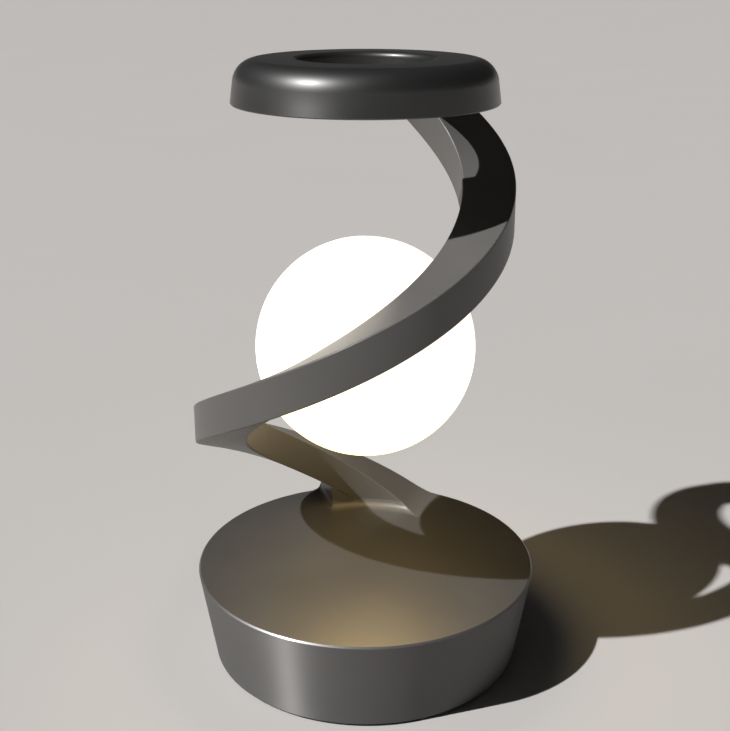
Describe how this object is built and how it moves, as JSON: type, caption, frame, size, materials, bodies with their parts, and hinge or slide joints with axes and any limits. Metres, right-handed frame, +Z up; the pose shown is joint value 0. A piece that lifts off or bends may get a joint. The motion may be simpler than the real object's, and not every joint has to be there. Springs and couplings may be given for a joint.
{
  "type": "levitating globe lamp",
  "caption": "Table lamp whose lit globe floats and turns freely inside a rising spiral arm, between a tapered drum base and a ring head.",
  "frame": {"origin": "on the table, under the middle of the drum base", "axes": "+Z up along the globe's turning axis, +Y to the back, where the power inlet is, +X to the right"},
  "size_m": [0.12, 0.12, 0.2106],
  "materials": {
    "base_paint": "satin gunmetal metallic paint on a moulded shell",
    "arm_paint": "cast, with satin black-brown paint",
    "ring_paint": "satin black-grey metallic paint on a moulded shell",
    "ring_cover_black": "matt",
    "plate_black": "matt",
    "button_black": "satin",
    "foot_rubber": "matt",
    "screw_steel": "zinc plated",
    "ballast_steel": "plain",
    "board_green": "solder mask",
    "chip_black": "matt",
    "inlet_metal": "plated",
    "part_nylon": "natural nylon",
    "bobbin_black": "matt",
    "copper": "enamelled copper wire",
    "ferrite": "sintered",
    "magnet_plate": "nickel plated",
    "globe_white": "translucent white, lit from inside",
    "led_board_white": "white solder mask",
    "led_yellow": "phosphor"
  },
  "bodies": {
    "stand": {"base_shell": "base_paint", "base_plate": "plate_black", "base_screws": "screw_steel", "rubber_feet": "foot_rubber", "ballast_disc": "ballast_steel", "coil_board": "board_green", "control_board": "board_green", "switch_board": "board_green", "board_screws": "screw_steel", "board_chips": "chip_black", "board_link": "part_nylon", "inlet_shell": "inlet_metal", "inlet_tongue": "chip_black", "switch_body": "chip_black", "coil_bobbins": "bobbin_black", "coil_windings": "copper", "coil_cores": "ballast_steel", "sensor_post": "part_nylon", "hall_sensor": "chip_black", "magnet_tray": "bobbin_black", "lift_magnet": "ferrite", "coil_shield": "ferrite", "sender_coil": "copper", "spiral_arm": "arm_paint", "arm_foot_screws": "screw_steel", "arm_top_screws": "screw_steel", "ring_shell": "ring_paint", "ring_cover": "ring_cover_black", "ring_magnet": "ferrite", "ring_screws": "screw_steel"},
    "globe": {"globe_shell": "globe_white", "globe_cap": "globe_white", "magnet_cup": "part_nylon", "float_magnet": "magnet_plate", "receiver_coil": "copper", "led_board": "led_board_white", "led_chips": "led_yellow"},
    "button": {"power_button": "button_black", "switch_plunger": "part_nylon"}
  },
  "joints": [
    {"name": "globe_turn", "type": "hinge", "parent": "stand", "child": "globe", "pos_m": [0, 0, 0.1139], "axis": [0, 0, 1], "continuous": true},
    {"name": "button_press", "type": "slide", "parent": "stand", "child": "button", "axis": [0.6428, -0.766, 0], "range_m": [0, 0.0008], "stiffness_N_per_m": 1200}
  ]
}
